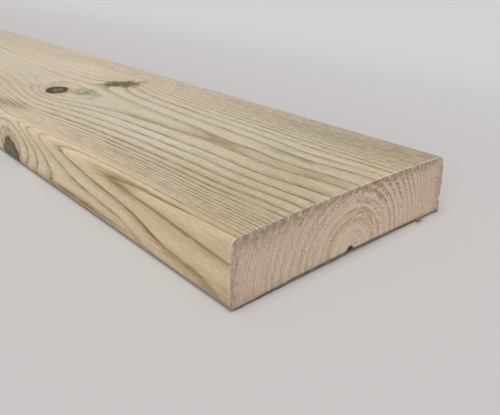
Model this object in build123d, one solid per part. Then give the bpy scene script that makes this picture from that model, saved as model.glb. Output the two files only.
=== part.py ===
from build123d import *
import os

# One board of treated softwood, sawn to a standard section, with eased long edges and square-cut
# ends. It lies heart side down and is slightly cupped: both wide faces arch up along the middle,
# so it bears on its two lower long edges.
# X runs along the grain, Y across the width and Z up. The origin is under the board's middle.

# Driving dimensions, in millimetres
LENGTH = 1800.0
WIDTH = 100.0
THICKNESS = 22.0
ARRIS_RADIUS = 3.0
CUP_RISE = 1.0

HALF_WIDTH = WIDTH / 2


def arched_face(height):
    """The line of a wide face across the board: its two edges at height, its middle cupped up."""
    return ThreePointArc((-HALF_WIDTH, height), (0, height + CUP_RISE), (HALF_WIDTH, height))


def upright_edge(across):
    """The line of a narrow edge between the two wide faces."""
    return Line((across, 0), (across, THICKNESS))


def board_section():
    """The section across the grain: two arched faces, two upright edges and four eased corners."""
    with BuildSketch(Plane.YZ) as section:
        with BuildLine():
            arched_face(0)
            upright_edge(HALF_WIDTH)
            arched_face(THICKNESS)
            upright_edge(-HALF_WIDTH)
        make_face()
        fillet(section.vertices(), ARRIS_RADIUS)
    return section.sketch


def plank():
    """The section run along the grain, set down with its lower edges on the floor."""
    board = extrude(board_section(), amount=LENGTH / 2, both=True)
    return Pos(0, 0, -board.bounding_box().min.Z) * board


os.makedirs("parts", exist_ok=True)
export_step(plank(), "parts/plank.step")
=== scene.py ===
import math
from collections import namedtuple

import bmesh
import bpy
import numpy as np
from mathutils import Color, Matrix, Vector, noise


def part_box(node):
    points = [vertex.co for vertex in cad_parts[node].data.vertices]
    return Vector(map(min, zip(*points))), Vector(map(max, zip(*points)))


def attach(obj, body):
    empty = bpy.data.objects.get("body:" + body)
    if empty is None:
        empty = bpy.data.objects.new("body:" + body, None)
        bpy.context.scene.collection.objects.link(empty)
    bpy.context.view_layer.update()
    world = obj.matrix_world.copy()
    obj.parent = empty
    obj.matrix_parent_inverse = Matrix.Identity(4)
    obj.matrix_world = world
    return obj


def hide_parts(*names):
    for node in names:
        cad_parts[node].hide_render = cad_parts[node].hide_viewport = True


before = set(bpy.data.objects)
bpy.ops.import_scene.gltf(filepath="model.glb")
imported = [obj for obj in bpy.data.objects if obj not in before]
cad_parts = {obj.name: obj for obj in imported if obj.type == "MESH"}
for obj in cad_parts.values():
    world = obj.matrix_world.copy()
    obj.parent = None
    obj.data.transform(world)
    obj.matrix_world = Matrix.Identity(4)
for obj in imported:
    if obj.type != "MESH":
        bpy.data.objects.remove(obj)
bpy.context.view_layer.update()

# The board's sizes in metres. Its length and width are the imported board's own.
board_low, board_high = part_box("plank")
LENGTH = board_high.x - board_low.x
WIDTH = board_high.y - board_low.y
THICKNESS = 0.022
ARRIS_RADIUS = 0.003
CUP_RISE = 0.001
TOP_DRAW_IN = 0.0008
CUT_END = board_high.x

# A millimetre in metres, and half of a whole
MM = 0.001
HALF = 0.5

# How the tree grew, in millimetres. Back is the way along the board from the cut end that faces the camera,
# across runs from the near edge, which is negative, to the far edge, and up is from the underside.
HEART_ACROSS = -0.2
HEART_UP = 1.5
HEART_BEND = 2.8
HEART_BEND_BACK = 18
HEART_KINK = 0.9
HEART_KINK_BACK = 34
HEART_KINK_SPAN = 12
HEART_SWAY = 5
HEART_SWAY_SPAN = 410
HEART_SWAY_BACK = 210
HEART_SINK = 5
HEART_SINK_SPAN = 640
FOLLOW_RADII = (23, 28, 38, 48)
FOLLOW_SHARES = (1.0, 0.4, 0.35, 0.1)
TAPER_SHARE = 0.0055

# A shallow ripple in the rings straight above the heart, and the stretch where it dies out
RIPPLE_DEPTH = 1.0
RIPPLE_HALF_WIDTH = 3.0
RIPPLE_RADIUS = 19
RIPPLE_GAP_BACK = 64
RIPPLE_GAP_SPAN = 17

# Radii of the rings' outer rims at the cut end, on the near and far side of the heart, and the width of a
# ring past the last of them
NEAR_RIMS = (0, 3.8, 7.4, 11.5, 15.0, 18.4, 21.4, 24.4, 28.2, 31.7, 35.1, 37.2, 39.1, 40.5, 41.8, 43.1,
             44.4, 45.4, 46.4, 47.7, 49.3, 51.0)
FAR_RIMS = (0, 3.8, 7.4, 11.5, 15.0, 18.4, 21.4, 23.7, 26.1, 28.7, 31.2, 33.5, 35.6, 37.4, 39.0, 40.6,
            42.1, 43.5, 44.9, 46.2, 47.5)
NEAR_RING_WIDTH = 1.7
FAR_RING_WIDTH = 1.3

SCREEN_WHITE = 255


def paint(red, green, blue):
    """A colour as it looks on screen, from 0 to 255, as the linear colour that a shader takes."""
    screen = Color((red / SCREEN_WHITE, green / SCREEN_WHITE, blue / SCREEN_WHITE))
    return (*screen.from_srgb_to_scene_linear(), 1.0)


TEAL_KNOT = paint(95, 105, 91)
GREY_KNOT = paint(104, 98, 74)
GREEN_KNOT = paint(108, 110, 84)
PALE_GREEN_KNOT = paint(196, 184, 152)
BROWN_KNOT = paint(140, 106, 72)
BLACK_BARK = paint(62, 50, 26)
DARK_OLIVE_BARK = paint(90, 78, 46)
OLIVE_BARK = paint(96, 82, 44)
BROWN_BARK = paint(84, 68, 42)
GREEN_BARK = paint(142, 144, 108)

# A branch leaves the heart at back and at an angle in degrees, 0 to the far edge and 90 straight up. Its
# radius grows with the distance from the heart by spread, and oval is its width over its length along the
# grain. It swells the rings by swell, most at the angle bulge, and that dies away over reach and over turn
# degrees round the tree. Rim is how much of its bark shows, and front and rear are how thick that is on the
# side of the photographed end and on the other, as a share of the branch's radius. Arcs is how strongly
# brown arcs show round it. Point is how pointed it is along the grain: 2 makes an oval and 1 a diamond.
BRANCH_FIELDS = "back angle spread oval swell reach bulge turn face bark rim front rear arcs point"
USUAL_POINT = 1.55
Branch = namedtuple("Branch", BRANCH_FIELDS, defaults=(USUAL_POINT,))
BRANCH_LEAN_SHARE = 0.4
SWELL_START = 15
BRANCHES = [
    Branch(179, 179, 0.172, 0.95, 8.9, 33, 150, 40, TEAL_KNOT, DARK_OLIVE_BARK, 0.95, 0.28, 0.12, 0.35),
    Branch(194, 117.5, 0.255, 0.74, 7.0, 17, 117, 25, GREY_KNOT, BLACK_BARK, 1.0, 0.4, 0.66, 0),
    Branch(180, 97, 0.25, 0.7, 0.5, 10, 97, 25, PALE_GREEN_KNOT, GREEN_BARK, 0.5, 0.6, 0.12, 0),
    Branch(186.5, 48.5, 0.25, 0.85, 2.5, 9, 48, 25, GREEN_KNOT, OLIVE_BARK, 0.5, 0.5, 0.55, 0, 1.15),
    Branch(186, 8, 0.14, 0.9, 5.0, 20, 8, 40, BROWN_KNOT, BROWN_BARK, 0.6, 0.2, 0.3, 0.3),
]

# The whorls of branches further along the board, and what their branches are drawn from
WHORL_BACKS = (612, 1017, 1436)
WHORL_BRANCHES = 5
WHORL_BACK_SCATTER = 9
WHORL_TURN_SCATTER = 0.25
WHORL_SPREADS = (0.1, 0.2)
WHORL_OVAL = 0.85
WHORL_SWELLS = (3, 7)
WHORL_REACHES = (10, 24)
WHORL_TURNS = (30, 50)
WHORL_FACES = (BROWN_KNOT, GREY_KNOT, GREEN_KNOT)
WHORL_RIMS = (0.4, 1)
WHORL_FRONT = 0.2
WHORL_REAR = 0.35
WHORL_ARCS = 0.3
FULL_TURN = 360

# Where the rings flare out from the heart, or in, without a branch: along the board over span, and round the
# tree over turn degrees
Flare = namedtuple("Flare", "back angle height span turn")
FLARES = [Flare(62, 181, 1.7, 42, 11), Flare(33, 172, -0.78, 17, 7)]

# Marks on the faces: a place, half a length along the grain, half a width across it and a strength
Mark = namedtuple("Mark", "back across up half_length half_width strength")
BROWN_MARKS = [
    Mark(66, -4, 22.7, 17, 4.0, 0.27),
    Mark(194, -12, 22.7, 4, 5, 0.5),
    Mark(36, -8, 22.7, 1.4, 0.6, 0.7),
    Mark(124.5, -3.5, 22.8, 1.3, 0.7, 1.0),
    Mark(14, -6, 22.7, 34, 26, 0.12),
    Mark(176, -43, 22.3, 15, 4.5, 0.2),
    Mark(4, -50, 4.0, 9, 3.2, 0.55),
    Mark(88, -50, 3.0, 26, 1.3, 1.7),
    Mark(118, -50, 2.6, 22, 1.8, 0.55),
    Mark(56, -49.4, 19.0, 8, 1.8, 0.8),
    Mark(20, -49.5, 17, 26, 3.5, 0.14),
    Mark(30, -50, 5.5, 14, 1.9, 0.32),
    Mark(230, -28, 22.5, 52, 18, 0.16),
]
GREEN_MARKS = [
    Mark(142, -33.8, 22, 4.2, 1.0, 1.0),
    Mark(27, 5.4, 22.7, 4.5, 1.1, 1.0),
    Mark(40, 4.4, 22.7, 5, 1.0, 0.8),
    Mark(118, -30, 22.3, 4, 0.7, 0.6),
    Mark(168, -9.5, 22.8, 3.4, 2.2, 0.8),
    Mark(40, 7, 22.7, 9, 4, 0.3),
    Mark(20, -8, 22.7, 20, 12, 0.16),
    Mark(199, -19.3, 22.7, 8, 3.4, 0.35),
    Mark(54, -17.5, 22.5, 6, 1.2, 0.4),
    Mark(84, 0, 22.7, 8, 2.4, 0.3),
]

# Places where the rings show faintly, and places where they are darkest
FAINT_AREAS = [
    Mark(265, 4, 22.8, 75, 45, 0.85),
    Mark(210, -17, 22.7, 18, 11, 0.7),
    Mark(168, -8, 22.8, 10, 5, 0.8),
]
DARK_AREAS = [
    Mark(181, -43, 22.2, 14, 5, 1.0),
    Mark(168, -40.5, 22.2, 12, 4.0, 1.0),
    Mark(70, -35, 22.4, 70, 10, 0.4),
    Mark(62, -48.6, 20.8, 36, 2.4, 0.65),
    Mark(40, 36, 22.4, 70, 11, 0.35),
]

# How much darker the top is at the cut end than further along, and over what length that dies away, on its
# far side and on its near one
FAR_SHADE = 0.25
FAR_SHADE_LENGTH = 120
NEAR_SHADE = 0.12
NEAR_SHADE_LENGTH = 50
NEAR_SIDE_START = -24
NEAR_SIDE_BLEND = 4
FAR_SIDE_START = 26
FAR_SIDE_BLEND = 4
TOP_START = 19
# Painted shade on the top's far arris, where it turns away from the light: its strength, start and blend
FAR_ARRIS_SHADE = 0.3
FAR_ARRIS_START = 46.6
FAR_ARRIS_BLEND = 1.6

# How pale the wood gets away from the cut end, over what length, how pale it is where the rings are faint,
# and the palest places
PALE_SHARE = 0.4
PALE_LENGTH = 70
FAINT_PALE_SHARE = 0.6
PALE_AREAS = [
    Mark(95, -20, 22.7, 52, 9, 0.75),
    Mark(165, -49.4, 17, 30, 5, 0.9),
    Mark(90, -50, 10, 36, 5, 0.6),
    Mark(230, 22, 22.7, 50, 14, 0.85),
]

# Where the narrow sides start, and the length over which their warm tone fades to its least
NEAR_EDGE_START = 45
FAR_EDGE_START = 48.6
EDGE_BLEND = 3
EDGE_LENGTH = 75
EDGE_LEAST = 0.3

# How much lighter the narrow sides get away from the cut end, and over what length
EDGE_LIFT = 0.045
EDGE_LIFT_LENGTH = 30

# The height on the narrow sides over which the ring lines grow crisp, as the sides cut the rings more
# steeply there
CRISP_START = 4.5
CRISP_FULL = 8

# Where the broad faces end
BROAD_END = 44
BROAD_BLEND = 3

# How much of the planer's fine hatching shows far from the cut end, and the length over which it fades
HATCH_LEAST = 0.35
HATCH_LENGTH = 100

# A row of single fibres runs along a ring of the cut end from one angle to another, with a share of the
# strength that other rows have. Each fibre lies a little off its row and has a share of that in turn.
Row = namedtuple("Row", "radius start end share", defaults=(1.0,))
ROW_SCATTER = 0.2
ROW_SHARES = (0.4, 1.0)

# Rows of fibre that the saw tore out of the cut end, and how deeply
TEARS = [
    Row(12.2, 28, 82), Row(12.7, 40, 75), Row(15.8, 30, 78), Row(16.4, 60, 84), Row(19.0, 34, 86),
    Row(19.8, 46, 92), Row(22.2, 34, 66), Row(22.8, 48, 70), Row(25.0, 30, 56), Row(27.5, 26, 48),
    Row(30.2, 24, 42), Row(32.6, 20, 38), Row(35.0, 20, 36), Row(11.2, 95, 150), Row(18.8, 100, 150),
    Row(22.0, 110, 165), Row(28.6, 128, 160), Row(29.3, 152, 174, 0.4),
    Row(31.4, 152, 177, 0.5), Row(33.4, 156, 178, 0.5), Row(35.6, 160, 178, 0.4),
]
TEAR_SPACING = 0.95
TEAR_RADIUS = 0.36
TEAR_DEPTH = 0.35

# Rows of pale fibre ends that the saw pulled up beside the tears, and how far they stand out
PULLED_ROWS = [
    Row(11.3, 30, 66), Row(11.8, 64, 98), Row(14.5, 66, 104, 0.5), Row(14.3, 32, 60, 0.5),
    Row(18.2, 40, 58, 0.4), Row(19.3, 58, 86), Row(21.4, 40, 62, 0.4), Row(20.2, 88, 112, 0.6),
]
PULLED_SPACING = 1.35
PULLED_RADIUS = 0.38
PULLED_HEIGHT = 0.12

# The pith is a hole in the cut end's lower edge
PITH_HOLE_WIDTH = 1.4
PITH_HOLE_DEPTH = 0.6

# How rough the saw left the ends, and how their edges are frayed, most at the far edge. Grit is a layer of
# smooth noise, with its cycles a millimetre, a shift that makes it its own and its share.
Grit = namedtuple("Grit", "cycles shift share", defaults=(1.0,))
SAW_ROUGHNESS = 0.07
SAW_GRIT = (Grit(0.5, 3), Grit(1.3, 11))
FRAY_DEPTH = 0.24
FRAY_GRIT = (Grit(0.3, 19), Grit(0.9, 27))
FRAY_REACH = 0.55
FRAY_LEAST = 0.01
FAR_FRAY = 1.2
FAR_FRAY_START = 38
FAR_FRAY_BLEND = 8
BURR = 0.1
BURR_GRIT = (Grit(2.1, 33),)

# Fibre broke away under the saw along the ends' lower edge, up to a height and most in the middle
BREAKOUT_HEIGHT = 0.2
BREAKOUT_LENGTH = 4.0
BREAKOUT_SPAN = 42
BREAKOUT_TOP = 2.5
BREAKOUT_BLEND = 1.5
BREAKOUT_SHARE = 0.6
BREAKOUT_GRIT = (Grit(0.25, 41, 0.5), Grit(1.1, 47, 0.3))

# Where on an end the saw pulled at the grain most, as an angle round the heart, and how much elsewhere
RAGGED_ANGLE = 55
RAGGED_TURN = 35
RAGGED_LEAST = 0.25

# The distance from a knot, in its radii, past which it no longer counts
FAR_FROM_KNOT = 10

# Painted contact shadow along the lower edges, where they meet the floor
CONTACT_SHADOW_HEIGHT = 0.64
CONTACT_SHADOW_SIDE_HEIGHT = 1.05
CONTACT_SHADOW_SIDE_START = 46.5
CONTACT_SHADOW_SIDE_BLEND = 1.5

chance = np.random.default_rng(7)
pulled_chance = np.random.default_rng(11)


def hump(value, middle, span):
    """One at a middle value, and less and less on either side of it."""
    return np.exp(-((value - middle) / span) ** 2)


def rise(value, start, span):
    """Nought up to a start, one from a span past it, and even in between."""
    return np.clip((value - start) / span, 0, 1)


def all_branches():
    """The photographed whorl and the plainer ones further along."""
    found = list(BRANCHES)
    for back in WHORL_BACKS:
        turn = chance.uniform(0, FULL_TURN)
        for number in range(WHORL_BRANCHES):
            step = number + chance.uniform(-WHORL_TURN_SCATTER, WHORL_TURN_SCATTER)
            angle = (turn + FULL_TURN * step / WHORL_BRANCHES) % FULL_TURN
            found.append(Branch(
                back=back + chance.uniform(-WHORL_BACK_SCATTER, WHORL_BACK_SCATTER),
                angle=angle,
                spread=chance.uniform(*WHORL_SPREADS),
                oval=WHORL_OVAL,
                swell=chance.uniform(*WHORL_SWELLS),
                reach=chance.uniform(*WHORL_REACHES),
                bulge=angle,
                turn=chance.uniform(*WHORL_TURNS),
                face=WHORL_FACES[number % len(WHORL_FACES)],
                bark=BROWN_BARK,
                rim=chance.uniform(*WHORL_RIMS),
                front=WHORL_FRONT,
                rear=WHORL_REAR,
                arcs=WHORL_ARCS,
            ))
    return found


def heart_line(back, radius):
    """Where the heart of the tree lies across and up the board. Inner rings follow its wander most."""
    bend = -HEART_BEND * (1 - hump(back, 0, HEART_BEND_BACK))
    kink = -HEART_KINK * hump(back, HEART_KINK_BACK, HEART_KINK_SPAN)
    beyond = np.maximum(back - HEART_SWAY_BACK, 0)
    sway = HEART_SWAY * np.sin(beyond / HEART_SWAY_SPAN)
    sink = HEART_SINK * np.sin(beyond / HEART_SINK_SPAN)
    follow = np.interp(radius, FOLLOW_RADII, FOLLOW_SHARES)
    return HEART_ACROSS + (bend + kink) * follow + sway, HEART_UP - sink


def rings_within(radius, rims, outer_width):
    """How many rings lie within a radius, as a number that grows smoothly through each ring."""
    inside = np.interp(radius, rims, np.arange(len(rims)))
    return inside + np.maximum(radius - rims[-1], 0) / outer_width


def branch_growth(branch, back, across, up):
    """A branch's swelling of the rings at each point, the distance from it in its radii, and the share of
    that which lies along the grain."""
    from_across, from_up = heart_line(np.float64(branch.back), 0.0)
    angle = math.radians(branch.angle)
    way = np.array((-BRANCH_LEAN_SHARE, math.cos(angle), math.sin(angle)))
    way /= np.linalg.norm(way)
    grainwise = np.array((1.0, 0, 0)) - way[0] * way
    grainwise /= np.linalg.norm(grainwise)
    offset = np.stack((back - branch.back, across - from_across, up - from_up), -1)
    out = offset @ way
    beside = offset - out[:, None] * way
    lengthwise = beside @ grainwise
    sideways = np.linalg.norm(beside - lengthwise[:, None] * grainwise, axis=1)
    thickness = branch.spread * np.maximum(out, 1)
    gap = np.maximum(np.hypot(lengthwise, sideways) - thickness, 0)
    turn = np.degrees(np.arctan2(up - from_up, across - from_across)) - branch.bulge
    turn = (turn + FULL_TURN / 2) % FULL_TURN - FULL_TURN / 2
    swelling = branch.swell * np.exp(-gap / branch.reach - (turn / branch.turn) ** 2)
    swelling *= np.clip(out / SWELL_START, 0, 1)
    point = branch.point
    outline = (abs(lengthwise) ** point + (sideways / branch.oval) ** point) ** (1 / point)
    return swelling, outline / thickness, lengthwise / thickness


Growth = namedtuple("Growth", "ring rounds pith knot knot_side which")


def grow(back, across, up, branches):
    """What the tree grew at each point: its ring, the way round and out from the heart, the pith and the
    nearest branch."""
    heart_across, heart_up = heart_line(back, np.hypot(across - HEART_ACROSS, up - HEART_UP))
    span = np.hypot(across - heart_across, up - heart_up)
    swelling = np.zeros_like(span)
    knot = np.full_like(span, np.inf)
    knot_side = np.zeros_like(span)
    which = np.zeros(len(span), int)
    for number, branch in enumerate(branches):
        swell, ratio, side = branch_growth(branch, back, across, up)
        swelling += swell
        closer = ratio < knot
        knot[closer] = ratio[closer]
        knot_side[closer] = side[closer]
        which[closer] = number
    around = np.degrees(np.arctan2(up - heart_up, across - heart_across)) % FULL_TURN
    for flare in FLARES:
        swelling += flare.height * hump(back, flare.back, flare.span) * hump(around, flare.angle, flare.turn)
    gap = 1 - hump(back, RIPPLE_GAP_BACK, RIPPLE_GAP_SPAN)
    ripple = RIPPLE_DEPTH * hump(across, heart_across, RIPPLE_HALF_WIDTH) * gap
    ripple /= 1 + np.exp(RIPPLE_RADIUS - span)
    radius = np.maximum(span - TAPER_SHARE * back - swelling - ripple, 0)
    near_share = np.clip(HALF - HALF * (across - heart_across) / np.maximum(span, 1), 0, 1)
    near = rings_within(radius, NEAR_RIMS, NEAR_RING_WIDTH)
    far = rings_within(radius, FAR_RIMS, FAR_RING_WIDTH)
    turn = (np.arctan2(up - heart_up, across - heart_across) + math.pi / 2) % (2 * math.pi)
    pith = hump(span, 0, PITH_HOLE_WIDTH)
    rounds = np.stack((turn * span, span, back), -1)
    return Growth(near_share * near + (1 - near_share) * far, rounds, pith, knot, knot_side, which)


def marked(back, across, up, marks):
    """How strongly a set of marks shows at each point."""
    strength = np.zeros_like(back)
    for mark in marks:
        aside = np.hypot(across - mark.across, up - mark.up)
        shown = hump(back, mark.back, mark.half_length) * hump(aside, 0, mark.half_width)
        strength = np.maximum(strength, mark.strength * shown)
    return strength


def on_broad_face(across):
    """How far a point belongs to the broad faces, and not to the narrow sides."""
    return 1 - rise(abs(across), BROAD_END, BROAD_BLEND)


def on_far_side(across):
    """How far a point belongs to the far side of the board."""
    return 1 / (1 + np.exp((FAR_SIDE_START - across) / FAR_SIDE_BLEND))


def on_top(up):
    """How far a point belongs to the top, by its height."""
    return rise(up, TOP_START, THICKNESS / MM - TOP_START)


def face_tone(back, across, up):
    """The lightness of each point, lower on the top and the narrow sides towards the cut end, with painted
    shade on the top's far arris.
    """
    near_side = 1 / (1 + np.exp((across - NEAR_SIDE_START) / NEAR_SIDE_BLEND))
    shade = on_far_side(across) * FAR_SHADE * np.exp(-back / FAR_SHADE_LENGTH)
    shade += near_side * NEAR_SHADE * hump(back, 0, NEAR_SHADE_LENGTH)
    # Painted shade on the top's far arris
    shade += FAR_ARRIS_SHADE * rise(across, FAR_ARRIS_START, FAR_ARRIS_BLEND)
    lift = EDGE_LIFT * (1 - on_broad_face(across)) * (1 - hump(back, 0, EDGE_LIFT_LENGTH))
    return 1 - shade * on_top(up) + lift


def far_side_wear(across, up):
    """How short and broken the grain looks at each point, most on the top's far side."""
    return on_far_side(across) * on_top(up)


def edge_warmth(back, across):
    """How warm the wood is on the board's narrow sides, most by the cut end."""
    start = np.where(across < 0, NEAR_EDGE_START, FAR_EDGE_START)
    warmth = EDGE_LEAST + (1 - EDGE_LEAST) * hump(back, 0, EDGE_LENGTH)
    return rise(abs(across), start, EDGE_BLEND) * warmth


def edge_crispness(up):
    """How crisp the ring lines are at a height on the narrow sides."""
    return rise(up, CRISP_START, CRISP_FULL - CRISP_START)


def hatching(back, across):
    """How strongly the planer's fine hatching shows on the broad faces, most by the cut end."""
    return on_broad_face(across) * (HATCH_LEAST + (1 - HATCH_LEAST) * hump(back, 0, HATCH_LENGTH))


def paleness(back, across, up, faint):
    """How pale the wood is: more away from the cut end and where the rings are faint, and most in a few
    places."""
    away = PALE_SHARE * (1 - hump(back, 0, PALE_LENGTH))
    return np.maximum.reduce((away, FAINT_PALE_SHARE * faint, marked(back, across, up, PALE_AREAS)))


def fibre_rows(across, up, rows, spacing, fibre_radius, draw):
    """How strongly rows of single fibres show at each point of the cut end, from nought to one."""
    shown = np.zeros_like(across)
    for row in rows:
        length = math.radians(row.end - row.start) * row.radius
        for angle in np.radians(np.linspace(row.start, row.end, round(length / spacing))):
            radius = row.radius + draw.normal(0, ROW_SCATTER)
            angle += draw.normal(0, ROW_SCATTER) / radius
            at_across = HEART_ACROSS + radius * math.cos(angle)
            at_up = HEART_UP + radius * math.sin(angle)
            gap = np.hypot(across - at_across, up - at_up)
            shown = np.maximum(shown, row.share * draw.uniform(*ROW_SHARES) * hump(gap, 0, fibre_radius))
    return shown


def rough(points, layers):
    """Smooth random numbers at points in millimetres, summed over layers of grit."""
    total = np.zeros(len(points))
    for grit in layers:
        start = Vector((grit.shift, grit.shift, grit.shift))
        total += grit.share * np.array([noise.noise(Vector(point) * grit.cycles + start) for point in points])
    return total


# The lattice of faces that the board is made of
CELLS_ALONG = 360
CELLS_ACROSS = 66
CELLS_THROUGH = 14
EVEN_SHARE = 0.14
LATTICE_POWER = 1.9
FINE_END_CELLS = 5
WHORL_REACH = 26
WHORL_CUTS = 2
PHOTOGRAPHED_WHORL_BACK = 175


def from_cut_end(share):
    """The distance from the cut end, in metres, of a share of the lattice, whose rows crowd towards it."""
    return LENGTH * (EVEN_SHARE * share + (1 - EVEN_SHARE) * share ** LATTICE_POWER)


def whorl_edge(edge, whorl):
    """Whether a lattice edge runs along the board beside a whorl of knots."""
    ends = [vert.co.x for vert in edge.verts]
    along = abs(ends[0] - ends[1]) > HALF / CELLS_ALONG
    return along and all(abs(from_cut_end(HALF - x) / MM - whorl) < WHORL_REACH for x in ends)


def board_lattice():
    """A closed unit block cut into a lattice of faces, finer at its two ends and beside the knots."""
    bm = bmesh.new()
    bmesh.ops.create_cube(bm, size=1.0)
    for axis, cells in enumerate((CELLS_ALONG, CELLS_ACROSS, CELLS_THROUGH)):
        whole = [e for e in bm.edges if abs(e.verts[0].co[axis] - e.verts[1].co[axis]) > HALF]
        bmesh.ops.subdivide_edges(bm, edges=whole, cuts=cells - 1, use_grid_fill=True)
    for end, cells in ((1, FINE_END_CELLS + HALF), (1, HALF), (-1, HALF)):
        start = HALF - cells / CELLS_ALONG
        close = [e for e in bm.edges if all(end * v.co.x > start for v in e.verts)]
        bmesh.ops.subdivide_edges(bm, edges=close, cuts=1, use_grid_fill=True)
    for whorl in (PHOTOGRAPHED_WHORL_BACK, *WHORL_BACKS):
        knotty = [e for e in bm.edges if whorl_edge(e, whorl)]
        bmesh.ops.subdivide_edges(bm, edges=knotty, cuts=WHORL_CUTS, use_grid_fill=True)
    for edge in bm.edges:
        edge.smooth = len({abs(f.normal.x) > HALF for f in edge.link_faces}) == 1
    for face in bm.faces:
        face.smooth = True
        face.material_index = int(abs(face.normal.x) > HALF)
    return bm


# Where each side of the board goes on the sheet of its baked picture: the four long sides one above the
# other, and the two ends in a strip under them
LONG_SHARE = 0.87
SHEET_GAP = 0.006
END_SHEET_WIDTH = 0.47
END_SHEET_HEIGHT = 0.104
GIRTH = 2 * (WIDTH + THICKNESS)
ALONG, ACROSS, UP = range(3)
SIDE_STARTS = {(UP, -1): 0, (UP, 1): WIDTH, (ACROSS, -1): 2 * WIDTH, (ACROSS, 1): 2 * WIDTH + THICKNESS}


def lay_on_sheet(bm):
    """The board's sides unfolded onto one sheet, with more of it for the crowded rows."""
    sheet = bm.loops.layers.uv.new("OFBake")
    for face in bm.faces:
        axis = max((ALONG, ACROSS, UP), key=lambda number: abs(face.normal[number]))
        sign = 1 if face.normal[axis] > 0 else -1
        for loop in face.loops:
            along, across, up = (number + HALF for number in loop.vert.co)
            if axis == ALONG:
                left = SHEET_GAP + HALF * (sign > 0)
                loop[sheet].uv = (left + across * END_SHEET_WIDTH, SHEET_GAP + up * END_SHEET_HEIGHT)
                continue
            width, through = (WIDTH, across) if axis == UP else (THICKNESS, up)
            low = 1 - LONG_SHARE + LONG_SHARE * SIDE_STARTS[axis, sign] / GIRTH
            right = 1 - (1 - along + from_cut_end(1 - along) / LENGTH) / 2
            loop[sheet].uv = (right, low + through * (LONG_SHARE * width / GIRTH - SHEET_GAP))


def ease_section(across, up):
    """Takes points of a square-edged section to the eased, cupped one, in metres. The face that was nearer
    the bark has dried a little narrower."""
    core_across = np.clip(across, ARRIS_RADIUS - WIDTH / 2, WIDTH / 2 - ARRIS_RADIUS)
    core_up = np.clip(up, ARRIS_RADIUS, THICKNESS - ARRIS_RADIUS)
    aside, above = across - core_across, up - core_up
    square = np.maximum(abs(aside), abs(above))
    share = square / np.maximum(np.hypot(aside, above), MM * MM)
    across = core_across + aside * share
    up = core_up + above * share + CUP_RISE * (1 - (2 * across / WIDTH) ** 2)
    across = across * (1 - 2 * TOP_DRAW_IN / WIDTH * up / THICKNESS)
    return across, up - up.min()


def lower_edge(across):
    """The height of the board's lower face across it, in millimetres."""
    return CUP_RISE / MM * (1 - (across * MM / (WIDTH / 2)) ** 2)


def end_relief(lattice, back, across, up, torn, pulled):
    """How far the saw's roughness, torn and pulled-up fibre and the frayed edges move each point, in
    millimetres."""
    on_end = abs(lattice[:, ALONG]) > HALF - MM
    way_in = -np.sign(lattice[:, ALONG])
    side_gap = WIDTH * (HALF - abs(lattice[:, ACROSS]))
    face_gap = THICKNESS * (HALF - abs(lattice[:, UP]))
    end_gap = np.minimum(back, LENGTH / MM - back)
    close = hump(np.where(on_end, np.minimum(side_gap, face_gap) / MM, end_gap), 0, FRAY_REACH)
    near = np.flatnonzero(on_end | (close > FRAY_LEAST))
    points = np.stack((back, across, up), -1)[near]
    saw = SAW_ROUGHNESS * rough(points, SAW_GRIT) * on_end[near]
    chip = FRAY_DEPTH * np.clip(rough(points, FRAY_GRIT), 0, 1) * close[near]
    chip *= 1 + FAR_FRAY * rise(points[:, ACROSS], FAR_FRAY_START, FAR_FRAY_BLEND)
    burr = BURR * rough(points, BURR_GRIT) * close[near]
    arris = ARRIS_RADIUS / MM
    core_across = np.clip(points[:, ACROSS], arris - WIDTH / MM / 2, WIDTH / MM / 2 - arris)
    core_up = np.clip(points[:, UP], arris, THICKNESS / MM - arris)
    inward = np.stack((core_across - points[:, ACROSS], core_up - points[:, UP]), -1)
    inward /= np.maximum(np.linalg.norm(inward, axis=1, keepdims=True), MM)
    shift = np.zeros((len(back), 3))
    shift[near, ALONG] = way_in[near] * (chip + saw)
    shift[near, ACROSS:] = inward * (chip + burr)[:, None]
    shift[:, ALONG] += way_in * (torn * TEAR_DEPTH - pulled * PULLED_HEIGHT)
    hole = hump(np.hypot(across - HEART_ACROSS, up - HEART_UP), 0, PITH_HOLE_WIDTH)
    shift[:, ALONG] += way_in * PITH_HOLE_DEPTH * hole * (on_end & (lattice[:, ALONG] > 0))
    low = rise(BREAKOUT_TOP - up, 0, BREAKOUT_BLEND)
    under = np.flatnonzero((end_gap < BREAKOUT_LENGTH) & (low > 0))
    along_edge = np.stack((0 * across, across, 0 * up), -1)[under]
    ragged = BREAKOUT_SHARE + rough(along_edge, BREAKOUT_GRIT)
    bay = np.clip(1 - (across[under] / BREAKOUT_SPAN) ** 2, 0, 1)
    shift[under, UP] += BREAKOUT_HEIGHT * ragged * low[under] * bay * (1 - end_gap[under] / BREAKOUT_LENGTH)
    return shift


# The grey along the ends' edges: how deep it reaches under the top, most on the near half and some on the
# far one, and how strong and wide it is down the two sides and along the bottom
GRIME_DEPTH = 1.1
NEAR_GRIME_DEPTH = 3.6
NEAR_GRIME_ACROSS = -39
NEAR_GRIME_SPAN = 21
FAR_GRIME_DEPTH = 1.3
FAR_GRIME_ACROSS = 34
FAR_GRIME_SPAN = 14
NEAR_SIDE_GRIME = 0.9
NEAR_SIDE_GRIME_WIDTH = 3.0
FAR_SIDE_GRIME = 0.8
FAR_SIDE_GRIME_WIDTH = 4.0
LOW_GRIME = 0.6
LOW_GRIME_HEIGHT = 1.5
NEAR_LOW_GRIME_HEIGHT = 1.8


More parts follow.
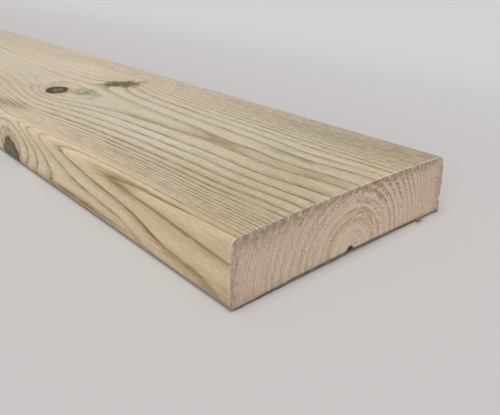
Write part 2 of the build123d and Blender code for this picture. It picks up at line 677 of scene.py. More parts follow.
def end_grime(across, up):
    """How grey the cut ends are, along their edges and under the top."""
    side = WIDTH / MM / 2
    near_half = hump(across, NEAR_GRIME_ACROSS, NEAR_GRIME_SPAN)
    far_half = hump(across, FAR_GRIME_ACROSS, FAR_GRIME_SPAN)
    depth = GRIME_DEPTH + NEAR_GRIME_DEPTH * near_half + FAR_GRIME_DEPTH * far_half
    top = hump(up, THICKNESS / MM, depth)
    near = NEAR_SIDE_GRIME * hump(across, -side, NEAR_SIDE_GRIME_WIDTH)
    far = FAR_SIDE_GRIME * hump(across, side, FAR_SIDE_GRIME_WIDTH)
    low = LOW_GRIME * hump(up, 0, LOW_GRIME_HEIGHT + NEAR_LOW_GRIME_HEIGHT * near_half)
    return np.maximum.reduce((top, near, far, low))


def lower_edge_shadow(lattice, across, up):
    """How dark the painted contact shadow makes the board's lower edges, at its ends and along its sides."""
    on_end = abs(lattice[:, ALONG]) > HALF - MM
    end = hump(up, lower_edge(across), CONTACT_SHADOW_HEIGHT) * on_end
    side = hump(up, 0, CONTACT_SHADOW_SIDE_HEIGHT) * rise(abs(across), CONTACT_SHADOW_SIDE_START, CONTACT_SHADOW_SIDE_BLEND)
    return np.maximum(end, side)


def ragged_area(across, up):
    """How much the saw pulled at the grain on an end: most above the heart, towards the far edge."""
    turn = np.degrees(np.arctan2(up - HEART_UP, across - HEART_ACROSS))
    return RAGGED_LEAST + (1 - RAGGED_LEAST) * hump(turn, RAGGED_ANGLE, RAGGED_TURN)


# How a number, a vector and a colour are kept at each point of a mesh
KEPT_KINDS = {1: ("FLOAT", "value"), 3: ("FLOAT_VECTOR", "vector"), 4: ("FLOAT_COLOR", "color")}


def keep(mesh, name, values):
    """Keeps values at the points of a mesh, under a name that its finish reads."""
    kind, field = KEPT_KINDS[values.size // len(mesh.vertices)]
    mesh.attributes.new(name, kind, "POINT").data.foreach_set(field, np.float32(values).ravel())


def sawn_board(branches):
    """The board, with the saw's roughness at its ends, and with what the tree grew kept at each point."""
    bm = board_lattice()
    lay_on_sheet(bm)
    mesh = bpy.data.meshes.new("sawn_board")
    bm.to_mesh(mesh)
    bm.free()
    lattice = np.empty(len(mesh.vertices) * 3)
    mesh.vertices.foreach_get("co", lattice)
    lattice = lattice.reshape(-1, 3)
    back = from_cut_end(HALF - lattice[:, ALONG]) / MM
    across, up = ease_section(lattice[:, ACROSS] * WIDTH, (lattice[:, UP] + HALF) * THICKNESS)
    across, up = across / MM, up / MM
    growth = grow(back, across, up, branches)
    cut_end = lattice[:, ALONG] > HALF - MM
    torn = fibre_rows(across, up, TEARS, TEAR_SPACING, TEAR_RADIUS, chance) * cut_end
    pulled = fibre_rows(across, up, PULLED_ROWS, PULLED_SPACING, PULLED_RADIUS, pulled_chance) * cut_end
    shift = end_relief(lattice, back, across, up, torn, pulled)
    place = np.stack((CUT_END / MM - back, across, up), -1) + shift
    mesh.vertices.foreach_set("co", (place * MM).ravel())
    faint = marked(back, across, up, FAINT_AREAS)
    edge = edge_warmth(back, across)
    at_points = {
        "ring": growth.ring,
        "rounds": growth.rounds,
        "pith": growth.pith,
        "torn": torn,
        "pulled": pulled,
        "ragged": ragged_area(across, up),
        "grime": end_grime(across, up),
        "contact_shadow": lower_edge_shadow(lattice, across, up),
        "brown_mark": marked(back, across, up, BROWN_MARKS),
        "green_mark": marked(back, across, up, GREEN_MARKS),
        "faint": faint,
        "pale": paleness(back, across, up, faint),
        "worn": far_side_wear(across, up),
        "edge": edge,
        "crisp": edge * edge_crispness(up),
        "hatch": hatching(back, across),
        "darkest": marked(back, across, up, DARK_AREAS),
        "tone": face_tone(back, across, up),
        "knot": np.minimum(growth.knot, FAR_FROM_KNOT),
        "knot_side": np.clip(growth.knot_side, -FAR_FROM_KNOT, FAR_FROM_KNOT),
    }
    by_branch = {
        "knot_rim": [branch.rim for branch in branches],
        "rim_front": [branch.front for branch in branches],
        "rim_swing": [branch.rear - branch.front for branch in branches],
        "knot_arcs": [branch.arcs for branch in branches],
        "knot_face": [branch.face for branch in branches],
        "knot_bark": [branch.bark for branch in branches],
    }
    for name, values in at_points.items():
        keep(mesh, name, values)
    for name, values in by_branch.items():
        keep(mesh, name, np.array(values)[growth.which])
    mesh.update()
    board = bpy.data.objects.new("plank_board", mesh)
    bpy.context.scene.collection.objects.link(board)
    return board


# Torn fibres that hang from the cut end's lower edge, in millimetres, and how near the corners they come
Tuft = namedtuple("Tuft", "across spread count length")
TUFTS = [
    Tuft(36.6, 0.6, 40, 3.2),
    Tuft(44.5, 2.8, 30, 1.6),
    Tuft(48.4, 0.7, 26, 1.5),
    Tuft(-35.6, 0.4, 3, 1.6),
    Tuft(-23.1, 0.4, 2, 1.4),
    Tuft(-9.8, 0.3, 3, 3.2),
    Tuft(5.0, 24, 46, 0.8),
]
FIBRE_RADIUS = 0.075
FIBRE_TIP_SHARE = 0.25
FIBRE_SIDES = 5
FIBRE_BENDS = 4
FIBRE_ROOT = 0.5
FIBRE_ROOT_HEIGHTS = (0.25, 0.9)
FIBRE_CURL = 0.25
FIBRE_SIDE_SCATTER = 0.7
FIBRE_DROOP = -0.5
FIBRE_DROOP_SCATTER = 0.45
FIBRE_LENGTHS = (0.45, 1.1)
FIBRE_LIE = 0.3
NEAR_MARGIN = 4
FAR_MARGIN = 1.5


def add_fibre(bm, across, length):
    """A tapered, bent sliver of wood, rooted in the cut end just above its lower edge."""
    sliver = bmesh.new()
    bmesh.ops.create_cone(sliver, cap_ends=True, segments=FIBRE_SIDES, depth=length,
                          radius1=FIBRE_RADIUS, radius2=FIBRE_RADIUS * FIBRE_TIP_SHARE)
    sides = [e for e in sliver.edges if abs(e.verts[0].co.z - e.verts[1].co.z) > length / 2]
    bmesh.ops.subdivide_edges(sliver, edges=sides, cuts=FIBRE_BENDS)
    curl = Vector((chance.normal(0, FIBRE_CURL), chance.normal(0, FIBRE_CURL), 0)) * length
    for vert in sliver.verts:
        way = vert.co.z / length + HALF
        vert.co += curl * way * way
    sideways = chance.normal(0, FIBRE_SIDE_SCATTER)
    droop = chance.normal(FIBRE_DROOP, FIBRE_DROOP_SCATTER)
    aim = Vector((1.0, sideways, droop)).normalized()
    root_up = lower_edge(across) + chance.uniform(*FIBRE_ROOT_HEIGHTS)
    root = Vector((CUT_END / MM - FIBRE_ROOT, across, root_up))
    turn = Vector((0, 0, 1)).rotation_difference(aim).to_matrix().to_4x4()
    lie = Matrix.Translation(root) @ turn @ Matrix.Translation((0, 0, length / 2))
    bmesh.ops.transform(sliver, matrix=lie, verts=sliver.verts)
    for vert in sliver.verts:
        if vert.co.z < FIBRE_LIE:
            vert.co.z = FIBRE_LIE * math.exp(vert.co.z / FIBRE_LIE - 1)
    loose = bpy.data.meshes.new("sliver")
    sliver.to_mesh(loose)
    sliver.free()
    bm.from_mesh(loose)
    bpy.data.meshes.remove(loose)


def torn_fibres():
    """The fibres that the saw left along the cut end's lower edge."""
    bm = bmesh.new()
    for tuft in TUFTS:
        for _ in range(tuft.count):
            across = chance.normal(tuft.across, tuft.spread)
            across = min(max(across, -WIDTH / MM / 2 + NEAR_MARGIN), WIDTH / MM / 2 - FAR_MARGIN)
            add_fibre(bm, across, tuft.length * chance.uniform(*FIBRE_LENGTHS))
    bmesh.ops.scale(bm, vec=(MM, MM, MM), verts=bm.verts)
    mesh = bpy.data.meshes.new("torn_fibres")
    bm.to_mesh(mesh)
    bm.free()
    fibres = bpy.data.objects.new("plank_torn_fibres", mesh)
    bpy.context.scene.collection.objects.link(fibres)
    return fibres


class Nodes:
    """A tree of shader nodes, with short calls that add to it."""

    def __init__(self, tree):
        self.tree = tree

    def node(self, kind, **settings):
        made = self.tree.nodes.new(kind)
        for name, value in settings.items():
            setattr(made, name, value)
        return made

    def feed(self, socket, value):
        """Links a socket to another one, or sets it to a value."""
        if isinstance(value, bpy.types.NodeSocket):
            self.tree.links.new(value, socket)
        else:
            socket.default_value = value

    def fed(self, kind, values, **settings):
        """A new node with its first sockets fed, and its first output."""
        made = self.node(kind, **settings)
        for socket, value in zip(made.inputs, values):
            self.feed(socket, value)
        return made.outputs[0]

    def math(self, operation, *values):
        return self.fed("ShaderNodeMath", values, operation=operation)

    def vector(self, operation, *values):
        return self.fed("ShaderNodeVectorMath", values, operation=operation)

    def choose(self, share, first, second):
        """One shader or another, by a share."""
        return self.fed("ShaderNodeMixShader", (share, first, second))

    def seen_directly(self):
        """One where a ray comes straight from the camera, or by way of a mirror or glass, and nought
        elsewhere."""
        ray = self.node("ShaderNodeLightPath").outputs
        seen = self.math("MAXIMUM", ray["Is Camera Ray"], ray["Is Glossy Ray"])
        return self.math("MAXIMUM", seen, ray["Is Transmission Ray"])


# A grain is noise with so many cycles a metre along the board and across it, and a shift that makes it its
# own. A patch is a grain taken from a low and a high level to a least and a most one.
Grain = namedtuple("Grain", "along across shift detail roughness", defaults=(0.0, 3.0, 0.55))
Patch = namedtuple("Patch", "grain low high least most", defaults=(0.0, 1.0))
DRY_WOOD_SHINE = 0.2


class Finish(Nodes):
    """A finish put together from nodes, with short calls for the ones that wood needs."""

    def __init__(self, name):
        self.material = bpy.data.materials.new(name)
        self.material.use_nodes = True
        super().__init__(self.material.node_tree)
        self.shader = self.tree.nodes["Principled BSDF"]
        self.place = self.node("ShaderNodeTexCoord").outputs["Object"]

    def product(self, *values):
        result = values[0]
        for value in values[1:]:
            result = self.math("MULTIPLY", result, value)
        return result

    def scaled(self, value, factor, base):
        """Value times factor, plus base."""
        return self.math("MULTIPLY_ADD", value, factor, base)

    def more(self, value, share):
        """One, and a share of value more."""
        return self.scaled(value, share, 1.0)

    def less(self, value, share):
        """One, less a share of value."""
        return self.scaled(value, -share, 1.0)

    def swing(self, value, size, middle):
        """A value from nought to one made to swing by a size about a middle."""
        return self.scaled(value, size, middle - size / 2)

    def attribute(self, name, output="Fac"):
        return self.node("ShaderNodeAttribute", attribute_name=name).outputs[output]

    def stretched(self, cycles, shift):
        """Object coordinates in cycles a metre along, across and up."""
        made = self.node("ShaderNodeMapping")
        self.feed(made.inputs["Vector"], self.place)
        self.feed(made.inputs["Scale"], cycles)
        self.feed(made.inputs["Location"], (shift, shift, shift))
        return made.outputs[0]

    def noise_at(self, place, cycles, detail, roughness):
        made = self.node("ShaderNodeTexNoise")
        self.feed(made.inputs["Vector"], place)
        self.feed(made.inputs["Scale"], cycles)
        self.feed(made.inputs["Detail"], detail)
        self.feed(made.inputs["Roughness"], roughness)
        return made.outputs["Fac"]

    def grain(self, grain):
        place = self.stretched((grain.along, grain.across, grain.across), grain.shift)
        return self.noise_at(place, 1.0, grain.detail, grain.roughness)

    def between(self, value, low, high, to_low=0.0, to_high=1.0):
        """Value from low to high taken to another range, eased and held at its ends."""
        made = self.node("ShaderNodeMapRange", interpolation_type="SMOOTHSTEP")
        numbers = {"Value": value, "From Min": low, "From Max": high, "To Min": to_low, "To Max": to_high}
        for name, number in numbers.items():
            self.feed(made.inputs[name], number)
        return made.outputs[0]

    def patch(self, patch):
        return self.between(self.grain(patch.grain), patch.low, patch.high, patch.least, patch.most)

    def ramp(self, value, stops):
        """A curve through stops of place and level."""
        made = self.node("ShaderNodeValToRGB")
        made.color_ramp.interpolation = "EASE"
        elements = made.color_ramp.elements
        while len(elements) < len(stops):
            elements.new(HALF)
        for element, (at, level) in zip(elements, stops):
            element.position = at
            element.color = (level, level, level, 1.0)
        self.feed(made.inputs[0], value)
        return made.outputs[0]

    def mix(self, share, first, second):
        made = self.node("ShaderNodeMix", data_type="RGBA")
        factor, start, end = made.inputs[0], made.inputs[6], made.inputs[7]
        self.feed(factor, share)
        self.feed(start, first)
        self.feed(end, second)
        return made.outputs[2]

    def lightness(self, colour, level):
        made = self.node("ShaderNodeHueSaturation")
        self.feed(made.inputs["Color"], colour)
        self.feed(made.inputs["Value"], level)
        return made.outputs[0]

    def split(self, kind, value):
        """The parts of a vector or a colour."""
        made = self.node(kind)
        self.feed(made.inputs[0], value)
        return made.outputs

    def chance_by(self, number):
        """Two even random numbers for each whole number."""
        made = self.node("ShaderNodeTexWhiteNoise", noise_dimensions="1D")
        self.feed(made.inputs["W"], number)
        return self.split("ShaderNodeSeparateColor", made.outputs["Color"])[:2]

    def finish(self, colour, roughness, height, depth):
        """The finished material, with a relief of a height and a depth."""
        self.feed(self.shader.inputs["Base Color"], colour)
        self.feed(self.shader.inputs["Specular IOR Level"], DRY_WOOD_SHINE)
        self.feed(self.shader.inputs["Roughness"], roughness)
        bump = self.node("ShaderNodeBump")
        self.feed(bump.inputs["Strength"], 1.0)
        self.feed(bump.inputs["Distance"], depth)
        self.feed(bump.inputs["Height"], height)
        self.feed(self.shader.inputs["Normal"], bump.outputs[0])
        return self.material


EARLYWOOD = paint(203, 189, 162)
GREENISH_EARLYWOOD = paint(188, 177, 145)
WARM_EARLYWOOD = paint(203, 183, 150)
PINK_EARLYWOOD = paint(208, 183, 154)
BROWN_LATEWOOD = paint(136, 110, 76)
OLIVE_LATEWOOD = paint(118, 107, 72)
BROWN_STAIN = paint(138, 113, 66)
GREEN_STAIN = paint(112, 124, 100)
PALE_EARLYWOOD = paint(214, 202, 184)
EDGE_EARLYWOOD = paint(200, 181, 147)
EDGE_LINE = paint(112, 90, 60)
EDGE_LATEWOOD = paint(146, 119, 80)
DARK_EARLYWOOD = paint(176, 160, 122)
DARK_LATEWOOD = paint(98, 84, 54)
KNOT_HALO = paint(166, 132, 92)
KNOT_ARC = paint(112, 86, 52)
FLECK = paint(92, 78, 52)
# The painted highlight on the burr along the cut end
BURR_HIGHLIGHT = paint(220, 207, 178)
# The colour of the painted contact shadow along the lower edges
EDGE_SHADOW = paint(74, 60, 42)

# The dark line through each ring from its inner rim to its outer one, how it wavers, how it breaks up, and
# how it widens or weakens from place to place
RING_WAVER = Grain(7, 85)
RING_WAVER_SIZE = 0.4
RING_TREMOR = Grain(30, 400, 4)
RING_TREMOR_SIZE = 0.12
EDGE_STEADINESS = 0.7
LATEWOOD_LINE = ((0.0, 0.75), (0.05, 0.12), (0.12, 0.0), (0.5, 0.0), (0.8, 0.4), (0.92, 1.0), (1.0, 0.9))
LINE_FADE = Patch(Grain(6, 60, 3), 0.3, 0.65, 0.6, 1.0)
LINE_DASHES = Patch(Grain(50, 700, 51), 0.3, 0.62, 0.6, 1.1)
FINE_DASHES = Patch(Grain(130, 1900, 67, 2.0), 0.32, 0.68, 0.55, 1.25)
DARK_WIDENING = 0.6
EDGE_WIDENING = 0.3
LINE_LEAST = 0.6
WORN_FADING = 0.35
DARK_GAIN = 0.9


def ring_lines(wood):
    """The rings' dark lines on the planed faces: their strength, the way through each ring, a hue by chance
    and how they fade."""
    edge = wood.attribute("edge")
    darkest = wood.attribute("darkest")
    waver = wood.swing(wood.grain(RING_WAVER), RING_WAVER_SIZE, 0)
    waver = wood.scaled(wood.grain(RING_TREMOR), RING_TREMOR_SIZE, waver)
    waver = wood.product(waver, wood.less(edge, EDGE_STEADINESS))
    ring = wood.math("ADD", wood.attribute("ring"), waver)
    dark, hue = wood.chance_by(wood.math("FLOOR", ring))
    through = wood.math("FRACT", ring)
    fade = wood.patch(LINE_FADE)
    line = wood.ramp(through, LATEWOOD_LINE)
    line = wood.math("POWER", line, wood.scaled(darkest, -DARK_WIDENING, wood.less(edge, EDGE_WIDENING)))
    line = wood.product(line, fade, wood.patch(LINE_DASHES), wood.patch(FINE_DASHES))
    line = wood.product(line, wood.scaled(dark, 1 - LINE_LEAST, LINE_LEAST))
    line = wood.product(line, wood.less(wood.attribute("worn"), WORN_FADING), wood.more(darkest, DARK_GAIN))
    return wood.product(line, wood.less(wood.attribute("faint"), 1.0)), through, hue, fade


# The knots: how their outlines waver and fray, the patches and the reach of their bark, the brown round them
# and the mottle of their faces. Reaches are distances in the branch's radii.
KNOT_FRINGE = Patch(Grain(900, 170, 71), 0.3, 0.7, -0.5, 0.5)
KNOT_FRINGE_SIZE = 1.8
KNOT_WAVER = Grain(170, 170, 33)
KNOT_WAVER_SIZE = 0.5
KNOT_SIDES = (-0.8, 0.8)
KNOT_REACH = (1.08, 0.94)
KNOT_MOTTLE = Patch(Grain(620, 620, 37), 0.36, 0.6, 0.5, 1.1)
BARK_PATCHES = Grain(220, 220, 49)
BARK_LEVELS = (0.62, 0.8)
BARK_RIM_SHARE = 0.6
BARK_BLEND = 0.15
BARK_REACH = (1.2, 1.02)
HALO_REACH = (1.8, 1.0)
HALO_SHARE = 0.55
ARC_START = (1.28, 1.38)
ARC_END = (1.52, 1.42)


def with_knots(wood, colour):
    """A colour with knots in it, their bark and the brown round them, and where that bark is."""
    rim = wood.attribute("knot_rim")
    fringe = wood.product(wood.patch(KNOT_FRINGE), wood.scaled(rim, -KNOT_FRINGE_SIZE, KNOT_FRINGE_SIZE))
    waver = wood.math("ADD", wood.swing(wood.grain(KNOT_WAVER), KNOT_WAVER_SIZE, 0), fringe)
    knot = wood.math("ADD", wood.attribute("knot"), waver)
    low, high = (wood.scaled(rim, -BARK_RIM_SHARE, level) for level in BARK_LEVELS)
    shown = wood.between(wood.grain(BARK_PATCHES), low, high)
    side = wood.between(wood.attribute("knot_side"), *KNOT_SIDES)
    thick = wood.math("MULTIPLY_ADD", side, wood.attribute("rim_swing"), wood.attribute("rim_front"))
    colour = wood.mix(wood.product(wood.between(knot, *HALO_REACH), rim, HALO_SHARE), colour, KNOT_HALO)
    arc = wood.product(wood.between(knot, *ARC_START), wood.between(knot, *ARC_END))
    colour = wood.mix(wood.product(arc, wood.attribute("knot_arcs")), colour, KNOT_ARC)
    face = wood.lightness(wood.attribute("knot_face", "Color"), wood.patch(KNOT_MOTTLE))
    colour = wood.mix(wood.between(knot, *KNOT_REACH), colour, face)
    bark_start = wood.math("SUBTRACT", 1.0, thick)
    bark = wood.between(knot, bark_start, wood.math("ADD", bark_start, BARK_BLEND))
    bark = wood.product(bark, wood.between(knot, *BARK_REACH), shown)
    return wood.mix(bark, colour, wood.attribute("knot_bark", "Color")), bark


# The planer's knife marks, drawn by a wave texture whose own period is a tenth of pi
WAVE_PERIOD = math.pi / 10
KNIFE_PITCH = 0.0011
KNIFE_STRETCH = (1.0, 0.05, 0.05)
KNIFE_WAVER = 0.6
KNIFE_PATCHES = Patch(Grain(12, 40, 25), 0.35, 0.65)


def knife_marks(wood):
    """The planer's knife marks across the board, in patches."""
    waves = wood.node("ShaderNodeTexWave", wave_profile="SIN", bands_direction="X")
    wood.feed(waves.inputs["Vector"], wood.stretched(KNIFE_STRETCH, 0.0))
    wood.feed(waves.inputs["Scale"], WAVE_PERIOD / KNIFE_PITCH)
    wood.feed(waves.inputs["Distortion"], KNIFE_WAVER)
    return wood.product(waves.outputs["Fac"], wood.patch(KNIFE_PATCHES))


# The planed faces: patches of colour and how far they go, fibres, pores and hatching and how much each
# lightens and darkens the wood, the painted highlight on the burr at the cut end, the breaks in the stains
# and in the painted contact shadow, and the relief
GREENISH_PATCHES = Patch(Grain(5, 45, 5), 0.35, 0.7)
WARM_PATCHES = Patch(Grain(4, 30, 9), 0.45, 0.75)
PINK_PATCHES = Patch(Grain(9, 110, 77), 0.48, 0.7, 0.0, 0.7)
EDGE_EARLY_SHARE = 0.85
EDGE_LATE_SHARE = 0.6
DARK_EARLY_SHARE = 0.6
EDGE_LINE_RISE = (0.82, 0.93)
EDGE_LINE_SHARE = 0.6
FLECKS = Patch(Grain(90, 1500, 21, 2.0), 0.64, 0.72)
FLECKED_LINES = (0.2, 0.6)
FINE_FIBRE = Grain(60, 2200, 13, roughness=0.6)
FINE_FIBRE_TONE = 0.3
BROAD_FIBRE = Grain(14, 420, 17, roughness=0.6)
BROAD_FIBRE_TONE = 0.24
PORES = Grain(1100, 1700, 45, 2.0, 0.7)
PORE_TONE = 0.34
KNIFE_TONE = 0.07
KNIFE_LEAST = 0.97
HATCHES = Grain(1300, 300, 73, 2.0, 0.7)
HATCH_TONE = 0.6
SHORT_FIBRE = Patch(Grain(260, 2000, 61, 2.0), 0.34, 0.66, -0.16, 0.13)
SHORT_FIBRE_LEAST = 0.45
BURR_HIGHLIGHT_LENGTH = 0.0012
BURR_HIGHLIGHT_ACROSS = (-0.03, 0, 0.3, 1.0)
BURR_HIGHLIGHT_PATCHES = Patch(Grain(900, 900, 41), 0.35, 0.6, 0.2, 0.8)
MARK_BREAKS = Patch(Grain(70, 600, 29), 0.3, 0.6, 0.35, 1.0)
CONTACT_SHADOW_BREAKS = Patch(Grain(60, 300, 57), 0.25, 0.55, 0.5, 0.9)
PLANED_ROUGHNESS = 0.62
LATEWOOD_POLISH = 0.1
FIBRE_RELIEF = 0.4
LINE_RELIEF = 0.5
KNIFE_RELIEF = 0.35
BARK_RELIEF = 1.5
PLANED_DEPTH = 0.00012


def long_grain():
    """The planed faces: rings run out along the grain, with knots, stains and the planer's knife marks, a
    painted highlight by the cut end and painted contact shadow along the lower edges.
    """
    wood = Finish("planed_softwood")
    line, through, hue, fade = ring_lines(wood)
    edge = wood.attribute("edge")
    darkest = wood.attribute("darkest")
    early = wood.mix(wood.patch(GREENISH_PATCHES), EARLYWOOD, GREENISH_EARLYWOOD)
    early = wood.mix(wood.patch(WARM_PATCHES), early, WARM_EARLYWOOD)
    early = wood.mix(wood.patch(PINK_PATCHES), early, PINK_EARLYWOOD)
    early = wood.mix(wood.attribute("pale"), early, PALE_EARLYWOOD)
    early = wood.mix(wood.product(edge, EDGE_EARLY_SHARE), early, EDGE_EARLYWOOD)
    early = wood.mix(wood.product(darkest, DARK_EARLY_SHARE), early, DARK_EARLYWOOD)
    late = wood.mix(hue, BROWN_LATEWOOD, OLIVE_LATEWOOD)
    late = wood.mix(wood.product(edge, EDGE_LATE_SHARE), late, EDGE_LATEWOOD)
    colour = wood.mix(line, early, wood.mix(darkest, late, DARK_LATEWOOD))
    core = wood.product(wood.between(through, *EDGE_LINE_RISE), wood.attribute("crisp"))
    colour = wood.mix(wood.product(core, fade, EDGE_LINE_SHARE), colour, EDGE_LINE)
    flecks = wood.product(wood.patch(FLECKS), wood.between(line, *FLECKED_LINES))
    colour = wood.mix(flecks, colour, FLECK)
    fibre = wood.grain(FINE_FIBRE)
    knife = knife_marks(wood)
    level = wood.swing(fibre, FINE_FIBRE_TONE, 1)
    level = wood.product(level, wood.swing(wood.grain(BROAD_FIBRE), BROAD_FIBRE_TONE, 1))
    level = wood.product(level, wood.swing(wood.grain(PORES), PORE_TONE, 1))
    level = wood.product(level, wood.scaled(knife, KNIFE_TONE, KNIFE_LEAST))
    hatch = wood.product(wood.swing(wood.grain(HATCHES), HATCH_TONE, 0), wood.attribute("hatch"))
    short = wood.scaled(wood.attribute("worn"), 1.0, SHORT_FIBRE_LEAST)
    short = wood.product(wood.patch(SHORT_FIBRE), short)
    level = wood.product(level, wood.more(hatch, 1.0), wood.more(short, 1.0))
    colour = wood.lightness(colour, wood.product(level, wood.attribute("tone")))
    along, across = wood.split("ShaderNodeSeparateXYZ", wood.place)[:2]
    # Painted highlight on the burr where the planed faces meet the cut end
    burr = wood.between(along, CUT_END - BURR_HIGHLIGHT_LENGTH, CUT_END)
    burr = wood.product(burr, wood.between(across, *BURR_HIGHLIGHT_ACROSS), wood.patch(BURR_HIGHLIGHT_PATCHES))
    colour = wood.mix(burr, colour, BURR_HIGHLIGHT)
    breaks = wood.patch(MARK_BREAKS)
    colour = wood.mix(wood.product(wood.attribute("brown_mark"), breaks), colour, BROWN_STAIN)
    colour = wood.mix(wood.product(wood.attribute("green_mark"), breaks), colour, GREEN_STAIN)
    colour, bark = with_knots(wood, colour)
    # Painted contact shadow along the lower edges, where they meet the floor
    contact_shadow = wood.product(wood.attribute("contact_shadow"), wood.patch(CONTACT_SHADOW_BREAKS))
    colour = wood.mix(contact_shadow, colour, EDGE_SHADOW)
    roughness = wood.scaled(line, -LATEWOOD_POLISH, PLANED_ROUGHNESS)
    height = wood.scaled(line, LINE_RELIEF, wood.product(knife, KNIFE_RELIEF))
    height = wood.scaled(fibre, FIBRE_RELIEF, height)
    height = wood.scaled(bark, -BARK_RELIEF, height)
    return wood.finish(colour, roughness, height, PLANED_DEPTH)


END_WOOD = paint(217, 196, 173)
END_PINK = paint(217, 191, 171)
END_LATEWOOD = paint(168, 138, 106)
END_GREY = paint(150, 138, 114)
# The painted shade in the torn holes, and the end's pale wood, which also paints the highlight on the curls
END_TEAR_SHADE = paint(124, 96, 68)
END_PALE_AND_HIGHLIGHT = paint(232, 214, 192)
END_PULLED = paint(246, 220, 184)
HEART_RING = paint(194, 157, 116)
PITH_BROWN = paint(84, 60, 46)

# Cells of torn fibre, in rows along the rings: their pitch, how many show, and the reach of the painted shade
# in the hole in each and of the painted highlight on the curl round it
TORN_PITCH = 1.15
TORN_SHIFT = 0.3
TORN_UNEVENNESS = 0.6
TORN_LEAST = 0.05
TORN_GAIN = 0.75
TORN_HOLE_SHADE = (0.3, 0.12)
TORN_HOLE_SHADE_SHARE = 0.75
TORN_CURL_HIGHLIGHT = (0.55, 0.35)
TORN_CURL_HIGHLIGHT_SHARE = 0.5


def torn_cells(wood, around, ring, ragged):
    """Small torn cells along the rings: the painted shade of the hole in each, and the painted highlight on
    the curl round it.
    """
    along_row = wood.product(around, 1 / TORN_PITCH)
    rows = wood.fed("ShaderNodeCombineXYZ", (along_row, wood.math("ADD", ring, TORN_SHIFT)))
    cells = wood.node("ShaderNodeTexVoronoi")
    wood.feed(cells.inputs["Vector"], rows)
    wood.feed(cells.inputs["Scale"], 1.0)
    wood.feed(cells.inputs["Randomness"], TORN_UNEVENNESS)
    draw = wood.split("ShaderNodeSeparateColor", cells.outputs["Color"])[0]
    shown = wood.math("LESS_THAN", draw, wood.scaled(ragged, TORN_GAIN, TORN_LEAST))
    gap = cells.outputs["Distance"]
    return [wood.product(wood.between(gap, *reach), shown) for reach in (TORN_HOLE_SHADE, TORN_CURL_HIGHLIGHT)]


# The sawn ends: the rings' lines and how they break up, weaken and strengthen with the distance from the
# heart, the brown ring round it, the weave of fine fibre, the breaks in grime and in the painted contact
# shadow, and the relief
END_WAVER = Grain(150, 150)
END_WAVER_SIZE = 0.3
END_LINE = ((0.0, 0.6), (0.06, 0.05), (0.14, 0.0), (0.4, 0.05), (0.7, 0.4), (0.92, 1.0), (1.0, 0.85))
END_BREAKS = Patch(Grain(200, 200, 3), 0.3, 0.6, 0.5, 1.0)
END_DOTS = Patch(Grain(900, 900, 55, 1.0), 0.36, 0.6, 0.35, 1.15)
END_LINE_LEAST = 0.4
END_LINE_GAIN = 0.65
RAGGED_LINE_LEAST = 0.25
RAGGED_LINE_GAIN = 0.95
PLAIN_HEART = (5, 9.5, 0.15, 1.0)
STRONG_RINGS = (25, 19, 1.0, 1.6)
PINK_END_PATCHES = Patch(Grain(60, 60, 5), 0.4, 0.62)
PALE_ZONE = (0.6, 0.1)
PALE_ZONE_LEAST = 0.12
PALE_ZONE_GAIN = 0.25
HEART_RING_NUMBER = 3.1
HEART_RING_REACH = (0.34, 0.08, 0.0, 0.75)
TEAR_RISE = (0.15, 0.7, 0.0, 0.85)
PULLED_RISE = (0.15, 0.42, 0.0, 0.9)
PALE_HEART = (24, 8, 0.0, 0.3)
WEAVE_CYCLES = 1.5
WEAVE_DETAIL = 2.0
WEAVE_ROUGHNESS = 0.7
WEAVE_TONE = 0.7
END_PRICKS = Patch(Grain(2600, 2600, 63, 1.0), 0.3, 0.7, 0.8, 1.2)
GRIME_BREAKS = Patch(Grain(600, 600, 13), 0.34, 0.6, 0.15, 0.85)
END_CONTACT_SHADOW_BREAKS = Patch(Grain(300, 300, 57), 0.25, 0.55, 0.6, 1.0)
PITH_RISE = (0.1, 0.5)
SAWN_ROUGHNESS = 0.85
END_LINE_POLISH = 0.05
WEAVE_RELIEF = 0.8
END_LINE_RELIEF = 0.3
HOLE_RELIEF = 1.0
SAWN_DEPTH = 0.00014


